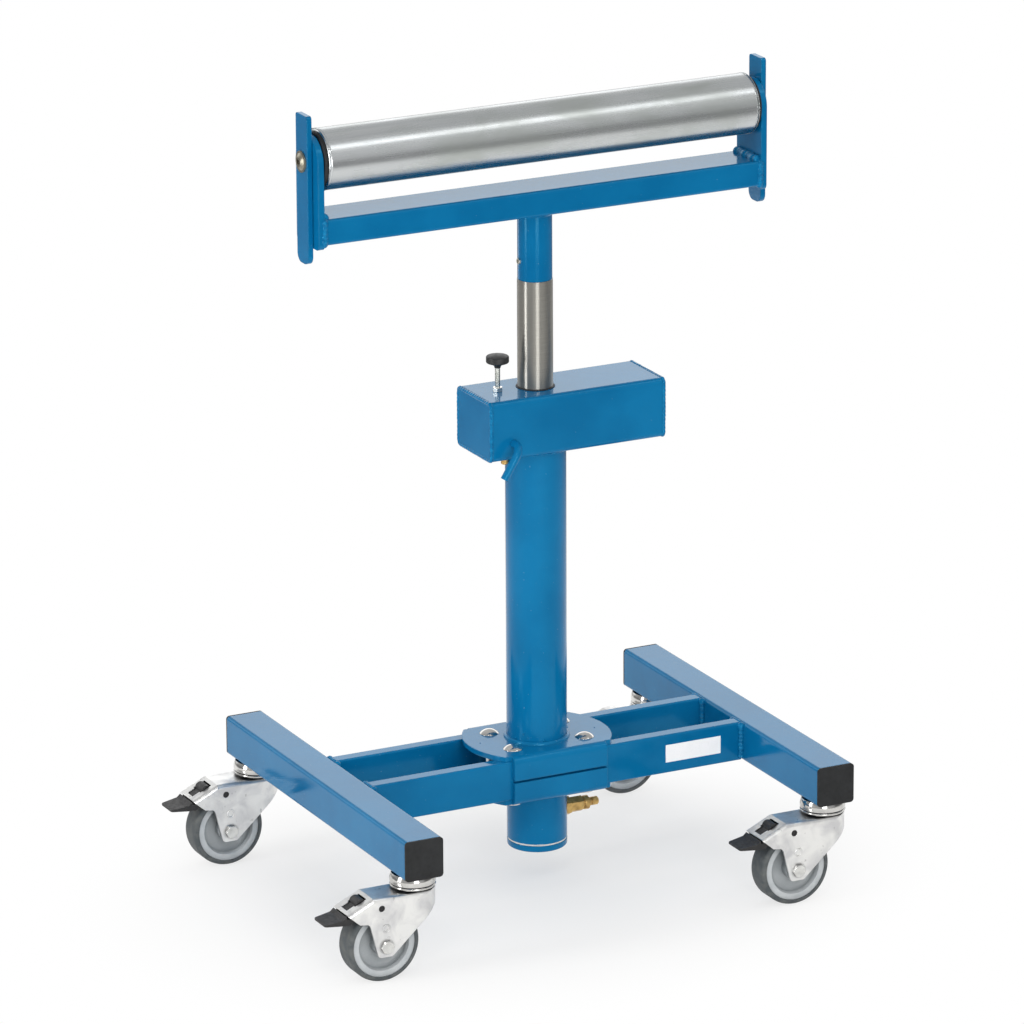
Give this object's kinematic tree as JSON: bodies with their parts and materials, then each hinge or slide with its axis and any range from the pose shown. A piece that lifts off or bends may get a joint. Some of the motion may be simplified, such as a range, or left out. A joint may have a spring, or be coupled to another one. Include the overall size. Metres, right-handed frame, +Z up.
{
  "type": "roller stand",
  "caption": "Mobile welded steel roller stand with a raising mast, side stops, head box with valve knob, and braked swivel casters.",
  "frame": {"origin": "on the floor under the middle of the whole stand's bounding box, with the mast at the height in the picture and all casters trailing to the left", "axes": "+X along the roller to the right, +Y to the back along the foot tubes, +Z up"},
  "size_m": [0.5738, 0.41, 0.8095],
  "materials": {
    "blue_paint": "gloss blue enamel over welded steel, slight orange peel",
    "black_plastic": "fine grained black plastic",
    "polished_zinc": "polished bright zinc",
    "pressed_zinc": "satin zinc plate on pressed sheet",
    "bright_zinc": "bright zinc plate",
    "rim_plastic": "light grey moulded plastic",
    "tyre_rubber": "dark grey rubber, lightly scuffed tread",
    "seal_rubber": "black seal rubber",
    "brass": "turned brass",
    "aluminium": "turned",
    "ground_rod": "ground and polished hard chrome",
    "galvanised_roller": "zinc plated tube with lengthwise drawn streaks",
    "plain_steel": "bright drawn steel"
  },
  "bodies": {
    "base": {"foot_left": "blue_paint", "foot_right": "blue_paint", "foot_caps": "black_plastic", "beam_front": "blue_paint", "beam_rear": "blue_paint", "clamp_top": "blue_paint", "clamp_bottom": "blue_paint", "clamp_bolts": "bright_zinc", "clamp_nuts": "bright_zinc", "column_tube": "blue_paint", "column_ring": "bright_zinc", "column_cap": "blue_paint", "air_coupling": "brass", "head_box": "blue_paint", "box_ends": "blue_paint", "hook": "blue_paint", "wiper_ring": "seal_rubber", "guide_bush": "brass", "valve_outlet": "brass", "valve_nut": "bright_zinc", "head_fl": "polished_zinc", "head_fr": "polished_zinc", "head_rl": "polished_zinc", "head_rr": "polished_zinc"},
    "mast": {"piston": "aluminium", "piston_rod": "ground_rod", "neck_tube": "blue_paint", "set_screw": "bright_zinc", "crossbeam": "blue_paint", "upright_left": "blue_paint", "upright_right": "blue_paint", "stop_washers": "bright_zinc", "roller_axle": "plain_steel", "axle_bolts": "bright_zinc"},
    "roller": {"roller_tube": "galvanised_roller", "roller_caps": "black_plastic"},
    "left_stop": {"stop_left": "blue_paint"},
    "right_stop": {"stop_right": "blue_paint"},
    "valve": {"valve_knob": "black_plastic"},
    "swivel_fl": {"fork_fl": "pressed_zinc", "axle_fl": "bright_zinc"},
    "wheel_fl": {"rim_fl": "rim_plastic", "tyre_fl": "tyre_rubber"},
    "brake_fl": {"pedal_fl": "black_plastic"},
    "swivel_fr": {"fork_fr": "pressed_zinc", "axle_fr": "bright_zinc"},
    "wheel_fr": {"rim_fr": "rim_plastic", "tyre_fr": "tyre_rubber"},
    "brake_fr": {"pedal_fr": "black_plastic"},
    "swivel_rl": {"fork_rl": "pressed_zinc", "axle_rl": "bright_zinc"},
    "wheel_rl": {"rim_rl": "rim_plastic", "tyre_rl": "tyre_rubber"},
    "brake_rl": {"pedal_rl": "black_plastic"},
    "swivel_rr": {"fork_rr": "pressed_zinc", "axle_rr": "bright_zinc"},
    "wheel_rr": {"rim_rr": "rim_plastic", "tyre_rr": "tyre_rubber"},
    "brake_rr": {"pedal_rr": "black_plastic"}
  },
  "joints": [
    {"name": "mast_lift", "type": "slide", "parent": "base", "child": "mast", "axis": [0, 0, 1], "range_m": [-0.1, 0.19]},
    {"name": "roller_spin", "type": "hinge", "parent": "mast", "child": "roller", "pos_m": [0.0358, 0, 0.7635], "axis": [1, 0, 0], "continuous": true},
    {"name": "left_stop_turn", "type": "hinge", "parent": "mast", "child": "left_stop", "pos_m": [-0.2088, 0, 0.7635], "axis": [1, 0, 0], "range_deg": [0, 180]},
    {"name": "right_stop_turn", "type": "hinge", "parent": "mast", "child": "right_stop", "pos_m": [0.2804, 0, 0.7635], "axis": [1, 0, 0], "range_deg": [0, 180]},
    {"name": "valve_push", "type": "slide", "parent": "base", "child": "valve", "axis": [0, 0, -1], "range_m": [0, 0.006], "stiffness_N_per_m": 900},
    {"name": "swivel_turn_fl", "type": "hinge", "parent": "base", "child": "swivel_fl", "pos_m": [-0.1882, -0.1785, 0.1025], "axis": [0, 0, 1], "continuous": true},
    {"name": "wheel_spin_fl", "type": "hinge", "parent": "swivel_fl", "child": "wheel_fl", "pos_m": [-0.2246, -0.1785, 0.0375], "axis": [0, 1, 0], "continuous": true},
    {"name": "brake_press_fl", "type": "hinge", "parent": "swivel_fl", "child": "brake_fl", "pos_m": [-0.2295, -0.1785, 0.077], "axis": [0, -1, 0], "range_deg": [0, 14]},
    {"name": "swivel_turn_fr", "type": "hinge", "parent": "base", "child": "swivel_fr", "pos_m": [0.2598, -0.1785, 0.1025], "axis": [0, 0, 1], "continuous": true},
    {"name": "wheel_spin_fr", "type": "hinge", "parent": "swivel_fr", "child": "wheel_fr", "pos_m": [0.2234, -0.1785, 0.0375], "axis": [0, 1, 0], "continuous": true},
    {"name": "brake_press_fr", "type": "hinge", "parent": "swivel_fr", "child": "brake_fr", "pos_m": [0.2185, -0.1785, 0.077], "axis": [0, -1, 0], "range_deg": [0, 14]},
    {"name": "swivel_turn_rl", "type": "hinge", "parent": "base", "child": "swivel_rl", "pos_m": [-0.1882, 0.1785, 0.1025], "axis": [0, 0, 1], "continuous": true},
    {"name": "wheel_spin_rl", "type": "hinge", "parent": "swivel_rl", "child": "wheel_rl", "pos_m": [-0.2246, 0.1785, 0.0375], "axis": [0, 1, 0], "continuous": true},
    {"name": "brake_press_rl", "type": "hinge", "parent": "swivel_rl", "child": "brake_rl", "pos_m": [-0.2295, 0.1785, 0.077], "axis": [0, -1, 0], "range_deg": [0, 14]},
    {"name": "swivel_turn_rr", "type": "hinge", "parent": "base", "child": "swivel_rr", "pos_m": [0.2598, 0.1785, 0.1025], "axis": [0, 0, 1], "continuous": true},
    {"name": "wheel_spin_rr", "type": "hinge", "parent": "swivel_rr", "child": "wheel_rr", "pos_m": [0.2234, 0.1785, 0.0375], "axis": [0, 1, 0], "continuous": true},
    {"name": "brake_press_rr", "type": "hinge", "parent": "swivel_rr", "child": "brake_rr", "pos_m": [0.2185, 0.1785, 0.077], "axis": [0, -1, 0], "range_deg": [0, 14]}
  ]
}
